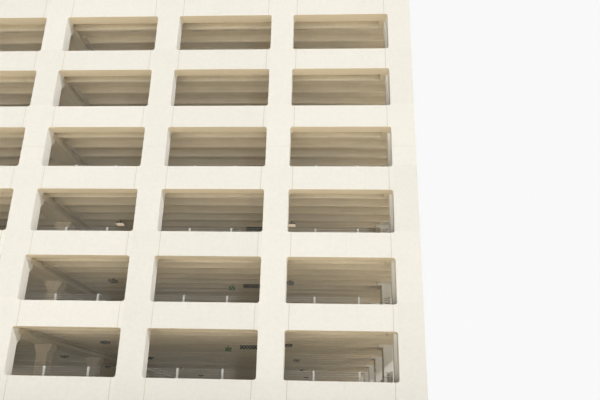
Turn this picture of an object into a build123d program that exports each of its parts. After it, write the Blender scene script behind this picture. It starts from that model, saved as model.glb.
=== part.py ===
from build123d import *
import os

# Multi-storey car park in precast concrete.
# Millimetres, +Z up. The origin is at ground level under the middle of the plan.
# The front faces -Y. Each face is drawn once in its own frame: x runs along the face,
# y runs inwards from the outer surface, and place() turns it to its side of the plan.

# Plan grid
BAYS_WIDE = 6
BAYS_DEEP = 6
BAY = 5920.0
STEMS_PER_BAY = 5

# Storeys
DECKS_BELOW_ROOF = 6
STOREY = 3200.0
BASE_WALL_HEIGHT = 1660.0

# Piers and their ears, the short arms that carry the spandrels
PIER_WIDTH = 1120.0
FRONT_PIER_DEPTH = 640.0
SIDE_PIER_DEPTH = 1240.0
EAR_LENGTH = 170.0
CORNER_RADIUS = 120.0

# Spandrel beams: an upright web with a foot along its inner bottom edge
SPANDREL_HEIGHT = 1140.0
SPANDREL_WEB = 250.0
SPANDREL_FOOT = 600.0
JOINT_WIDTH = 16.0
JOINT_DEPTH = 20.0

# Base walls between the piers
BASE_WALL_THICKNESS = 300.0
BASE_WALL_RECESS = 30.0

# Double-tee deck units with a topping
TOPPING = 70.0
FLANGE = 50.0
STEM_DEPTH = 360.0
STEM_WIDTH_BOTTOM = 120.0
STEM_WIDTH_TOP = 160.0
BEARING_LEDGE = 180.0
UNIT_JOINT = 12.0
BEARING_CLEARANCE = 20.0

# Corbels on the inner faces of the side piers
CORBEL_LENGTH = 250.0

# Horizontal joints between the lifts of the piers, halfway up an opening
PIER_LIFT_STOREYS = 3
LIFT_JOINT_WIDTH = 14.0
LIFT_JOINT_DEPTH = 12.0

# Central line of girders and columns, running front to back
GIRDER_LEDGE_WIDTH = 1100.0
GIRDER_WEB_WIDTH = 550.0
GIRDER_DROP = 260.0
GIRDER_JOINT = 20.0
COLUMN_COUNT = 5
COLUMN_SETBACK = 4700.0
COLUMN_WIDTH = 550.0
COLUMN_DEPTH = 650.0
CAPITAL_WIDTH = 850.0
CAPITAL_FACE = 210.0
CAPITAL_SLOPE = 210.0

# Vehicle guards behind the openings
FRONT_GUARD_SETBACK = 1010.0
SIDE_GUARD_CLEARANCE = 60.0
GUARD_HEIGHT = 1170.0
GUARD_POST = 85.0
GUARD_BAYS_PER_BAY = 3
GUARD_POST_SHIFT = -170.0
CABLE_COUNT = 5
CABLE_DIAMETER = 16.0
CABLE_SIDES = 6
CABLE_PITCH = 95.0
CABLE_TOP_MARGIN = 60.0

# Ceiling lights
LIGHT_FIRST_X = 2800.0
LIGHT_SPACING_X = 9450.0
LIGHT_ROWS = 4
LIGHT_FIRST_STEM_GAP = 4
LIGHT_GAP_STEP = 7
LIGHT_SIZE = 400.0
LIGHT_LENS_SIZE = 330.0
LIGHT_HEIGHT = 120.0
LIGHT_LENS_HEIGHT = 50.0
LIGHT_DROP = 350.0
LIGHT_STEM = 50.0
LIGHT_PLATE = 200.0
LIGHT_PLATE_HEIGHT = 25.0

# Blank signs fixed under a stem, and the small exit lights beside them
SIGN_STEM = 4
SIGN_X = 10300.0
SIGN_WIDTH = 1200.0
SIGN_HEIGHT = 200.0
SIGN_THICKNESS = 60.0
EXIT_LIGHT_X = 9100.0
EXIT_LIGHT_WIDTH = 320.0
EXIT_LIGHT_HEIGHT = 190.0
EXIT_LIGHT_THICKNESS = 50.0
EXIT_LIGHT_DROP = 130.0
EXIT_LIGHT_ROD = 25.0

# Drain pipe under the decks, beside the central girder
PIPE_X = 850.0
PIPE_DIAMETER = 130.0
PIPE_DROP = 40.0
PIPE_END_SETBACK = 1500.0
HANGER_WIDTH = 60.0
STEMS_PER_HANGER = 5

# Sizes worked out from the ones above
PLAN_X = BAYS_WIDE * BAY + PIER_WIDTH
PLAN_Y = BAYS_DEEP * BAY + PIER_WIDTH
DECK_COUNT = DECKS_BELOW_ROOF + 1
DECK_DEPTH = STEM_DEPTH + FLANGE + TOPPING
CLEAR_WIDTH = BAY - PIER_WIDTH
SPANDREL_LENGTH = CLEAR_WIDTH - 2 * EAR_LENGTH
STEM_SPACING = BAY / STEMS_PER_BAY
UNIT_WIDTH = 2 * STEM_SPACING
UNIT_COUNT = BAYS_DEEP * STEMS_PER_BAY // 2
UNITS_START = -BAYS_DEEP * BAY / 2
TOP = BASE_WALL_HEIGHT + DECKS_BELOW_ROOF * STOREY + SPANDREL_HEIGHT
CORBEL_HALF_WIDTH = (STEM_SPACING + STEM_WIDTH_TOP) / 2 + BEARING_CLEARANCE
SPAN_START = max(GIRDER_WEB_WIDTH, COLUMN_WIDTH) / 2 + BEARING_CLEARANCE
OPENING_HEIGHT = STOREY - SPANDREL_HEIGHT
SIDE_GUARD_SETBACK = SIDE_PIER_DEPTH + SIDE_GUARD_CLEARANCE + GUARD_POST / 2

FRONT_FOOT_HEIGHT = STEM_DEPTH
SIDE_FOOT_HEIGHT = BEARING_LEDGE
SIDE_TURNS = {"front": 0.0, "right": 90.0, "back": 180.0, "left": 270.0}


def soffit(deck):
    """Height of the underside of the stems and spandrels at a deck."""
    return BASE_WALL_HEIGHT + deck * STOREY


def ledge_top(deck):
    """Height at which the thinned ends of the stems bear."""
    return soffit(deck) + BEARING_LEDGE


def flange_bottom(deck):
    """Height of the underside of the flanges at a deck."""
    return soffit(deck) + STEM_DEPTH


def floor_top(deck):
    """Height of the driving surface of a deck."""
    return soffit(deck) + DECK_DEPTH


def block(x0, x1, y0, y1, z0, z1):
    """A box from its lowest and highest corners."""
    size = Box(x1 - x0, y1 - y0, z1 - z0, align=(Align.MIN, Align.MIN, Align.MIN))
    return Pos(x0, y0, z0) * size


def place(shape, side):
    """Move a piece from the frame of a face to its side of the plan."""
    depth = PLAN_Y if side in ("front", "back") else PLAN_X
    return Rot(0, 0, SIDE_TURNS[side]) * (Pos(0, -depth / 2, 0) * shape)


def bays_along(side):
    """Number of bays along a side of the plan."""
    return BAYS_WIDE if side in ("front", "back") else BAYS_DEEP


def pier_depth(side):
    """Depth of the piers of a side: the ones that carry the double tees are deeper."""
    return FRONT_PIER_DEPTH if side in ("front", "back") else SIDE_PIER_DEPTH


def foot_height(side):
    """Height of the spandrel foot: the flange or the thinned stems bear on it."""
    return FRONT_FOOT_HEIGHT if side in ("front", "back") else SIDE_FOOT_HEIGHT


def pier_lines(side):
    """Centres of the piers along a side, the two corners included."""
    count = bays_along(side)
    return [(i - count / 2) * BAY for i in range(count + 1)]


def ear_outline(z0, z1, round_below, round_above):
    """Elevation of one ear, growing towards +x from a pier face at x = 0."""
    r = CORNER_RADIUS
    lines = []
    if round_below:
        lines.append(JernArc((0, z0 - r), (0, 1), r, -90))
    else:
        lines.append(Line((0, z0), (r, z0)))
    lines.append(Line((r, z0), (EAR_LENGTH, z0)))
    lines.append(Line((EAR_LENGTH, z0), (EAR_LENGTH, z1)))
    lines.append(Line((EAR_LENGTH, z1), (r, z1)))
    if round_above:
        lines.append(JernArc((r, z1), (-1, 0), r, -90))
    else:
        lines.append(Line((r, z1), (0, z1)))
    lines.append(Line(lines[-1] @ 1, lines[0] @ 0))
    return make_face(Wire(lines))


def ear(deck, side):
    """One ear at a deck, from the face of a pier at x = 0 towards +x."""
    z0 = soffit(deck)
    round_below = deck > 0
    web = ear_outline(z0, z0 + SPANDREL_HEIGHT, round_below, deck < DECKS_BELOW_ROOF)
    foot = ear_outline(z0, z0 + foot_height(side), round_below, False)
    upright = Plane.XZ * web
    return extrude(upright, -SPANDREL_WEB) + extrude(Plane.XZ * foot, -SPANDREL_FOOT)


def ears(side, half_width, directions):
    """All the ears of a pier, on the sides given by +1 and -1."""
    pieces = []
    for deck in range(DECK_COUNT):
        one = Pos(half_width, 0, 0) * ear(deck, side)
        for direction in directions:
            pieces.append(one if direction > 0 else mirror(one, Plane.YZ))
    return pieces


def side_corbels(y0, y1):
    """Corbels on the inner face of a side pier, under the stems beside it."""
    inner = SIDE_PIER_DEPTH
    return [
        block(y0, y1, inner, inner + CORBEL_LENGTH, soffit(deck), ledge_top(deck))
        for deck in range(DECK_COUNT)
    ]


def girder_soffit(deck):
    """Height of the underside of the central girders at a deck."""
    return soffit(deck) - GIRDER_DROP


def girder_corbels():
    """Corbels on the inner face of a front pier, under the ends of the girders."""
    half = GIRDER_LEDGE_WIDTH / 2
    y0 = FRONT_PIER_DEPTH
    y1 = FRONT_PIER_DEPTH + CORBEL_LENGTH
    pieces = []
    for deck in range(DECK_COUNT):
        z = girder_soffit(deck)
        outline = Polyline(
            (y0, z), (y1, z), (y1, z - CAPITAL_FACE), (y0, z - CAPITAL_FACE - CAPITAL_SLOPE),
            close=True,
        )
        wedge = extrude(Plane.YZ * make_face(outline), half, both=True)
        pieces.append(wedge)
    return pieces


def pier_plan(side):
    """Plan of a pier between two bays, in the frame of its face."""
    depth = pier_depth(side)
    return Pos(0, depth / 2) * Rectangle(PIER_WIDTH, depth)


def corner_plan():
    """Plan of the corner pier at the -x end of the front, a leg along each side."""
    half = PIER_WIDTH / 2
    inner = SIDE_PIER_DEPTH - half
    outline = Polyline(
        (-half, 0), (half, 0), (half, FRONT_PIER_DEPTH),
        (inner, FRONT_PIER_DEPTH), (inner, PIER_WIDTH), (-half, PIER_WIDTH),
        close=True,
    )
    return make_face(outline)


def lift_joints(plan):
    """Grooves round a pier where one lift stands on the next."""
    groove = extrude(plan - offset(plan, -LIFT_JOINT_DEPTH), LIFT_JOINT_WIDTH)
    rings = []
    for storey in range(PIER_LIFT_STOREYS, DECKS_BELOW_ROOF, PIER_LIFT_STOREYS):
        middle = soffit(storey) + SPANDREL_HEIGHT + OPENING_HEIGHT / 2
        rings.append(Pos(0, 0, middle - LIFT_JOINT_WIDTH / 2) * groove)
    return rings


def shaft(plan):
    """The plain shaft of a pier, from the ground to the top of the parapet."""
    return extrude(plan, TOP) - lift_joints(plan)


def middle_pier(side, line):
    """A pier between two bays, from the ground to the top of the parapet."""
    half = PIER_WIDTH / 2
    pieces = ears(side, half, (1, -1))
    if side in ("left", "right"):
        pieces += side_corbels(-CORBEL_HALF_WIDTH, CORBEL_HALF_WIDTH)
    elif abs(line) < PIER_WIDTH / 2:
        pieces += girder_corbels()
    return shaft(pier_plan(side)) + pieces


def corner_pier(side):
    """The pier at the -x end of the front or back face, shared with the next side."""
    half = PIER_WIDTH / 2
    next_side = {"front": "left", "back": "right"}[side]
    along = shaft(corner_plan()) + ears(side, half, (1,))
    first = pier_lines(side)[0]
    along = place(Pos(first, 0, 0) * along, side)
    last = pier_lines(next_side)[-1]
    corbel_end = half - SPANDREL_FOOT - BEARING_CLEARANCE
    arms = ears(next_side, half, (-1,)) + side_corbels(-CORBEL_HALF_WIDTH, corbel_end)
    return along + [place(Pos(last, 0, 0) * arm, next_side) for arm in arms]


def four_corner_piers():
    """Two corners, then the same two mirrored across the plan."""
    drawn = [corner_pier("front"), corner_pier("back")]
    return drawn + [mirror(pier, Plane.YZ) for pier in drawn]


def side_piers(side):
    """The piers between the corners of one side."""
    return [
        place(Pos(line, 0, 0) * middle_pier(side, line), side)
        for line in pier_lines(side)[1:-1]
    ]


def spandrel(side, deck):
    """One spandrel between two ears, rebated at its outer ends for the sealed joints."""
    half = SPANDREL_LENGTH / 2
    z0 = soffit(deck)
    z1 = z0 + SPANDREL_HEIGHT
    beam = block(-half, half, 0, SPANDREL_WEB, z0, z1)
    beam += block(-half, half, 0, SPANDREL_FOOT, z0, z0 + foot_height(side))
    beam -= block(-half, -half + JOINT_WIDTH, 0, JOINT_DEPTH, z0, z1)
    return beam - block(half - JOINT_WIDTH, half, 0, JOINT_DEPTH, z0, z1)


def spandrels(side, decks):
    """The spandrels of one side at the given decks."""
    middles = [line + BAY / 2 for line in pier_lines(side)[:-1]]
    pieces = []
    for deck in decks:
        one = spandrel(side, deck)
        pieces += [place(Pos(x, 0, 0) * one, side) for x in middles]
    return pieces


def base_walls(side):
    """The walls between the piers, from the ground to the lowest spandrels."""
    half = CLEAR_WIDTH / 2
    inner = BASE_WALL_RECESS + BASE_WALL_THICKNESS
    wall = block(-half, half, BASE_WALL_RECESS, inner, 0, BASE_WALL_HEIGHT)
    middles = [line + BAY / 2 for line in pier_lines(side)[:-1]]
    return [place(Pos(x, 0, 0) * wall, side) for x in middles]


def pier_footprints():
    """Plan of every pier, to be left out of the decks."""
    plan = Sketch()
    for side in SIDE_TURNS:
        for line in pier_lines(side)[1:-1]:
            plan += place(Pos(line, 0) * pier_plan(side), side)
    for side in ("front", "back"):
        corner = place(Pos(pier_lines(side)[0], 0) * corner_plan(), side)
        plan += corner + mirror(corner, Plane.YZ)
    return plan


def column_lines():
    """Places of the central columns from front to back."""
    first = -PLAN_Y / 2 + COLUMN_SETBACK
    pitch = -2 * first / (COLUMN_COUNT - 1)
    return [first + i * pitch for i in range(COLUMN_COUNT)]


def column_footprints():
    """Plan of the central columns."""
    plan = Sketch()
    for y in column_lines():
        plan += Pos(0, y) * Rectangle(COLUMN_WIDTH, COLUMN_DEPTH)
    return plan


def unit_profile():
    """Section of a double tee, drawn along y with its stems down to z = 0."""
    edge = (UNIT_WIDTH - UNIT_JOINT) / 2
    top = STEM_DEPTH + FLANGE
    half_top = STEM_WIDTH_TOP / 2
    half_bottom = STEM_WIDTH_BOTTOM / 2
    mid = STEM_SPACING / 2
    right = [
        (mid - half_top, STEM_DEPTH), (mid - half_bottom, 0),
        (mid + half_bottom, 0), (mid + half_top, STEM_DEPTH),
        (edge, STEM_DEPTH), (edge, top),
    ]
    left = [(-y, z) for y, z in reversed(right)]
    return make_face(Polyline(right + left, close=True))


def stem_end_cutter():
    """What is cut from the stems of the right-hand span at each side pier."""
    pier_face = PLAN_X / 2 - SIDE_PIER_DEPTH
    web_face = PLAN_X / 2 - SPANDREL_WEB
    seat = pier_face - CORBEL_LENGTH - BEARING_CLEARANCE
    pieces = []
    for y in pier_lines("right"):
        y0 = y - CORBEL_HALF_WIDTH
        y1 = y + CORBEL_HALF_WIDTH
        pieces.append(block(pier_face - BEARING_CLEARANCE, web_face, y0, y1, 0, STEM_DEPTH))
        pieces.append(block(seat, pier_face, y0, y1, 0, BEARING_LEDGE))
    return pieces


def right_span_units():
    """The double tees between the girder and the right-hand side, stems down to z = 0."""
    x0 = SPAN_START
    x1 = PLAN_X / 2 - SPANDREL_WEB
    profile = Plane.YZ * unit_profile()
    blank = Pos(x0, 0, 0) * extrude(profile, x1 - x0)
    half = UNIT_WIDTH / 2
    foot_start = PLAN_X / 2 - SPANDREL_FOOT - BEARING_CLEARANCE
    blank -= block(foot_start, x1, -half, half, 0, BEARING_LEDGE)
    cutters = stem_end_cutter()
    cutters.append(extrude(pier_footprints(), STEM_DEPTH + FLANGE))
    units = []
    for i in range(UNIT_COUNT):
        y = UNITS_START + (i + 0.5) * UNIT_WIDTH
        units.append(Pos(0, y, 0) * blank - cutters)
    return units


def deck_units():
    """The double tees of one deck, stems down to z = 0."""
    right = right_span_units()
    return right + [mirror(unit, Plane.YZ) for unit in right]


def topping_plate():
    """The cast topping of one deck, thickened over the spandrel feet at front and back."""
    width = PLAN_X - 2 * SPANDREL_WEB
    depth = PLAN_Y - 2 * SPANDREL_WEB
    left_out = pier_footprints() + column_footprints()
    plate = extrude(Rectangle(width, depth) - left_out, TOPPING)
    strip_depth = PIER_WIDTH / 2 - SPANDREL_WEB - BEARING_CLEARANCE
    strip_y = PLAN_Y / 2 - SPANDREL_WEB - strip_depth / 2
    strips = Pos(0, strip_y) * Rectangle(width, strip_depth)
    strips += Pos(0, -strip_y) * Rectangle(width, strip_depth)
    return plate + extrude(strips - left_out, -FLANGE)


def girders():
    """The central girders, end to end over the columns, with the stems on their ledges."""
    ends = [-PLAN_Y / 2 + FRONT_PIER_DEPTH]
    for y in column_lines():
        ends += [y - GIRDER_JOINT / 2, y + GIRDER_JOINT / 2]
    ends.append(PLAN_Y / 2 - FRONT_PIER_DEPTH)
    half_ledge = GIRDER_LEDGE_WIDTH / 2
    half_web = GIRDER_WEB_WIDTH / 2
    pieces = []
    for deck in range(DECK_COUNT):
        for y0, y1 in zip(ends[::2], ends[1::2]):
            beam = block(-half_ledge, half_ledge, y0, y1, girder_soffit(deck), soffit(deck))
            web_top = flange_bottom(deck) + FLANGE
            pieces.append(beam + block(-half_web, half_web, y0, y1, soffit(deck), web_top))
    return pieces


def column(deck):
    """One storey of a central column, flared under the girders of the given deck."""
    foot = flange_bottom(deck - 1) + FLANGE if deck else 0
    head = girder_soffit(deck)
    half = COLUMN_WIDTH / 2
    half_head = CAPITAL_WIDTH / 2
    right = [
        (half, foot), (half, head - CAPITAL_FACE - CAPITAL_SLOPE),
        (half_head, head - CAPITAL_FACE), (half_head, head),
    ]
    left = [(-x, z) for x, z in reversed(right)]
    outline = make_face(Polyline(right + left, close=True))
    return extrude(Plane.XZ * outline, COLUMN_DEPTH / 2, both=True)


def columns():
    """The central columns, storey by storey."""
    pieces = []
    for deck in range(DECK_COUNT):
        one = column(deck)
        pieces += [Pos(0, y, 0) * one for y in column_lines()]
    return pieces


def guard_posts_along(side):
    """Places of the guard posts along a side, between its corner posts."""
    count = bays_along(side) * GUARD_BAYS_PER_BAY
    pitch = BAY / GUARD_BAYS_PER_BAY
    return [(i - count / 2) * pitch + GUARD_POST_SHIFT for i in range(1, count)]


def guard_run(side):
    """Posts and cables of one side, standing on z = 0, in the frame of the face."""
    half = GUARD_POST / 2
    places = guard_posts_along(side)
    if side in ("front", "back"):
        setback = FRONT_GUARD_SETBACK
        corner = PLAN_X / 2 - SIDE_GUARD_SETBACK
        places = [-corner] + places + [corner]
    else:
        setback = SIDE_GUARD_SETBACK
        corner = PLAN_Y / 2 - FRONT_GUARD_SETBACK
    reach = corner - half
    bars = []
    for i in range(CABLE_COUNT):
        z = GUARD_HEIGHT - CABLE_TOP_MARGIN - i * CABLE_PITCH
        section = RegularPolygon(CABLE_DIAMETER / 2, CABLE_SIDES)
        bar = extrude(Plane.YZ * section, 2 * reach)
        bars.append(Pos(-reach, 0, z) * bar)
    posts = [block(x - half, x + half, -half, half, 0, GUARD_HEIGHT) for x in places]
    return Pos(0, setback, 0) * (posts[0] + posts[1:] + bars)


def guards(side):
    """The guard of one side on every deck."""
    run = place(guard_run(side), side)
    return [Pos(0, 0, floor_top(deck)) * run for deck in range(DECK_COUNT)]


def stem_gap(index):
    """Middle of a gap between two stems, counted from the front pier line."""
    return UNITS_START + index * STEM_SPACING


def stem_middle(index):
    """Middle of a stem, counted from the front."""
    return UNITS_START + (index + 0.5) * STEM_SPACING


def ceiling_light():
    """A square light on a short stem, hung from the flange, whose underside is z = 0."""
    half = LIGHT_SIZE / 2
    top = -LIGHT_DROP
    rim = top - LIGHT_HEIGHT + LIGHT_LENS_HEIGHT
    body = block(-half, half, -half, half, rim, top)
    lens_top = Pos(0, 0, rim) * Rectangle(LIGHT_SIZE, LIGHT_SIZE)
    lens_bottom = Pos(0, 0, top - LIGHT_HEIGHT) * Rectangle(LIGHT_LENS_SIZE, LIGHT_LENS_SIZE)
    body += loft([lens_top, lens_bottom])
    rod = LIGHT_STEM / 2
    plate = LIGHT_PLATE / 2
    body += block(-rod, rod, -rod, rod, top, 0)
    return body + block(-plate, plate, -plate, plate, -LIGHT_PLATE_HEIGHT, 0)


def ceiling_lights():
    """Lights under every deck but the lowest, in rows across both spans."""
    one = ceiling_light()
    xs = [LIGHT_FIRST_X, LIGHT_FIRST_X + LIGHT_SPACING_X]
    pieces = []
    for deck in range(1, DECK_COUNT):
        for row in range(LIGHT_ROWS):
            y = stem_gap(LIGHT_FIRST_STEM_GAP + row * LIGHT_GAP_STEP)
            for x in xs + [-x for x in xs]:
                pieces.append(Pos(x, y, flange_bottom(deck)) * one)
    return pieces


def blank_sign():
    """A blank sign fixed under a stem, whose underside is z = 0."""
    half_x = SIGN_WIDTH / 2
    half_y = SIGN_THICKNESS / 2
    return block(-half_x, half_x, -half_y, half_y, -SIGN_HEIGHT, 0)


def exit_light():
    """A small blank light box on a rod under a stem, whose underside is z = 0."""
    half_x = EXIT_LIGHT_WIDTH / 2
    half_y = EXIT_LIGHT_THICKNESS / 2
    bottom = -EXIT_LIGHT_DROP - EXIT_LIGHT_HEIGHT
    rod = EXIT_LIGHT_ROD / 2
    box = block(-half_x, half_x, -half_y, half_y, bottom, -EXIT_LIGHT_DROP)
    return box + block(-rod, rod, -rod, rod, -EXIT_LIGHT_DROP, 0)


def under_stem(piece, offset):
    """A piece in each span under every deck but the lowest, at a distance from the girder."""
    y = stem_middle(SIGN_STEM)
    places = [(x, soffit(deck)) for deck in range(1, DECK_COUNT) for x in (offset, -offset)]
    return [Pos(x, y, z) * piece for x, z in places]


def drain_pipe():
    """A pipe and its hangers, under stems whose underside is z = 0."""
    radius = PIPE_DIAMETER / 2
    length = PLAN_Y - 2 * PIPE_END_SETBACK
    half = HANGER_WIDTH / 2
    pipe = Pos(0, 0, -PIPE_DROP - radius) * Rot(90, 0, 0) * Cylinder(radius, length)
    hangers = []
    for stem in range(1, BAYS_DEEP * STEMS_PER_BAY, STEMS_PER_HANGER):
        y = stem_middle(stem)
        if abs(y) < length / 2:
            hangers.append(block(-half, half, y - half, y + half, -PIPE_DROP - radius, 0))
    return Pos(PIPE_X, 0, 0) * (pipe + hangers)


def drain_pipes():
    """The pipe under every deck but the lowest."""
    pipe = drain_pipe()
    return [Pos(0, 0, soffit(deck)) * pipe for deck in range(1, DECK_COUNT)]


def solids_of(pieces):
    """Every solid in a list of pieces."""
    return [solid for piece in pieces for solid in piece.solids()]


def write(name, pieces):
    """Write one node from its pieces."""
    export_step(Compound(label=name, children=solids_of(pieces)), f"parts/{name}.step")


def deck_name(deck):
    """Name of a deck, counted from the lowest."""
    return "roof" if deck == DECKS_BELOW_ROOF else f"level_{deck + 1}"


def main():
    """Build and write every node."""
    os.makedirs("parts", exist_ok=True)
    for side in SIDE_TURNS:
        write(f"{side}_base_walls", base_walls(side))
        write(f"{side}_piers", side_piers(side))
        write(f"{side}_spandrels", spandrels(side, range(DECKS_BELOW_ROOF)))
        write(f"{side}_parapet", spandrels(side, [DECKS_BELOW_ROOF]))
        write(f"{side}_guard_rails", guards(side))
    write("corner_piers", four_corner_piers())
    units = deck_units()
    plate = topping_plate()
    for deck in range(DECK_COUNT):
        name = deck_name(deck)
        write(f"{name}_double_tees", [Pos(0, 0, soffit(deck)) * unit for unit in units])
        write(f"{name}_topping", [Pos(0, 0, floor_top(deck) - TOPPING) * plate])
    write("central_girders", girders())
    write("central_columns", columns())
    write("ceiling_lights", ceiling_lights())
    write("blank_signs", under_stem(blank_sign(), SIGN_X))
    write("exit_lights", under_stem(exit_light(), EXIT_LIGHT_X))
    write("drain_pipes", drain_pipes())


main()
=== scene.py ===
"""Looks of a multi-storey precast concrete car park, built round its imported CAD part.

The part gives piers, spandrels, decks, girders, columns, guards and fixtures. This scene
gives every surface its finish and adds what is finer than the part: wire screens, joint
sealant, post plates with their anchors, cable fittings, lenses, pipe collars and drains.
Metres, in the frame of the part: +Z up, the origin on the ground under the middle of the
plan, the front facing -Y.
"""

from __future__ import annotations

import logging
import math
from collections.abc import Callable
from dataclasses import dataclass, field
from enum import Enum

import bpy
from mathutils import Matrix, Vector

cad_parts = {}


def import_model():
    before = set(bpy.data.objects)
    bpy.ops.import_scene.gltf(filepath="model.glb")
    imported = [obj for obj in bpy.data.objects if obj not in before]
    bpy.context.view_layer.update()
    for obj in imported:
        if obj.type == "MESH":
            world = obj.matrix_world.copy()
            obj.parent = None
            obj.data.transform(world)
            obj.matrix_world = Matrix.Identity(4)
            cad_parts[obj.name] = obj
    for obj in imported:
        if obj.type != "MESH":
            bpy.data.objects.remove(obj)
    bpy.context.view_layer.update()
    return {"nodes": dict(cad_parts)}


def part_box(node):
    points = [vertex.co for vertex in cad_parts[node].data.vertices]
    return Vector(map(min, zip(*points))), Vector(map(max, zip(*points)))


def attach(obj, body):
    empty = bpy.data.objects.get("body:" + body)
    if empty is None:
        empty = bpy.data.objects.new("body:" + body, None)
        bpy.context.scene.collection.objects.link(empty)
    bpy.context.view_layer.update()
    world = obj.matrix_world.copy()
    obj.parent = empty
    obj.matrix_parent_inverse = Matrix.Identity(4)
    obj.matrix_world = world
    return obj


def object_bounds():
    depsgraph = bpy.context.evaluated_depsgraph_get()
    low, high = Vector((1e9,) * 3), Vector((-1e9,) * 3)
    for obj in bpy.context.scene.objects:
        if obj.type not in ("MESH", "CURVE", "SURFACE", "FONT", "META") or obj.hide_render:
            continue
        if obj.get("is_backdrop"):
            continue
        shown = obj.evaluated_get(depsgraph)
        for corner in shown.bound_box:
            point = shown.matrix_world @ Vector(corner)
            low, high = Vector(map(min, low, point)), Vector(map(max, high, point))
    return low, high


LOG = logging.getLogger("car_park")
SEED = 7
PHOTO_WIDTH = 600

Rgb = tuple[float, float, float]
Socket = bpy.types.NodeSocket
Tree = bpy.types.NodeTree
Material = bpy.types.Material
Piece = bpy.types.Object

# Turns of a shape that is made along +Z.
TO_X = Matrix.Rotation(math.pi / 2, 4, "Y")
TO_FRONT = Matrix.Rotation(math.pi / 2, 4, "X")
TO_BACK = Matrix.Rotation(-math.pi / 2, 4, "X")


def at(x: float = 0.0, y: float = 0.0, z: float = 0.0) -> Matrix:
    """Move to a place."""
    return Matrix.Translation((x, y, z))


def srgb(*levels: int) -> Rgb:
    """Turn the red, green and blue of a display colour, 0 to 255, into linear light."""
    parts = [level / 255 for level in levels]
    return tuple(p / 12.92 if p <= 0.04045 else ((p + 0.055) / 1.055) ** 2.4 for p in parts)


def full(colour: object) -> object:
    """Give a plain colour its fourth part, and leave a term as it is."""
    return (*colour, 1.0) if isinstance(colour, tuple) else colour


def new_object(name: str, data: bpy.types.ID) -> Piece:
    """Put an object in the scene.

    Args:
        name: Its name.
        data: Its mesh, lamp or camera.

    Returns:
        The object.
    """
    made = bpy.data.objects.new(name, data)
    bpy.context.scene.collection.objects.link(made)
    return made


class Side(Enum):
    """A face of the building, with the quarter turns that bring the front to it."""

    FRONT = 0
    RIGHT = 1
    BACK = 2
    LEFT = 3

    @property
    def turn(self) -> float:
        """Angle from the front to this face, in radians."""
        return self.value * math.pi / 2

    @property
    def key(self) -> str:
        """Start of the names of this face's nodes."""
        return self.name.lower()

    @property
    def flank(self) -> bool:
        """Whether it is the right or the left."""
        return self.value % 2 == 1


class Glow(Enum):
    """How bright a lens shines."""

    ROOM = 0.55
    EXIT = 0.03


class Stain(Enum):
    """Colours laid over a surface: stains of weather and use, and the painted shade of
    undersides.
    """

    # Painted shade: darker, warmer tint laid on faces that look down
    SHADE = srgb(230, 214, 183)
    RAIN = srgb(150, 140, 124)
    SPLASH = srgb(148, 138, 120)
    DUST = srgb(168, 162, 150)
    WALL_PIT = srgb(140, 132, 120)
    LIME = srgb(196, 188, 172)
    DAMP = srgb(120, 106, 88)
    DECK_PIT = srgb(96, 88, 76)
    DIRT = srgb(132, 126, 116)
    TYRE = srgb(86, 82, 78)
    OIL = srgb(60, 56, 52)
    PAINT = srgb(226, 224, 214)
    JOINT = srgb(58, 56, 54)
    WEAR = srgb(128, 112, 92)
    RUST = srgb(112, 74, 50)
    METAL_DUST = srgb(170, 162, 146)
    GRIME = srgb(150, 142, 122)


@dataclass(frozen=True)
class Spot:
    """A place for one copy of a shape."""

    place: Vector | Rgb  # Where it goes
    turn: float = 0.0  # Its turn about the upright, in radians
    stretch: Rgb = (1.0, 1.0, 1.0)  # Its stretch along its own x, y and z


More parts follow.
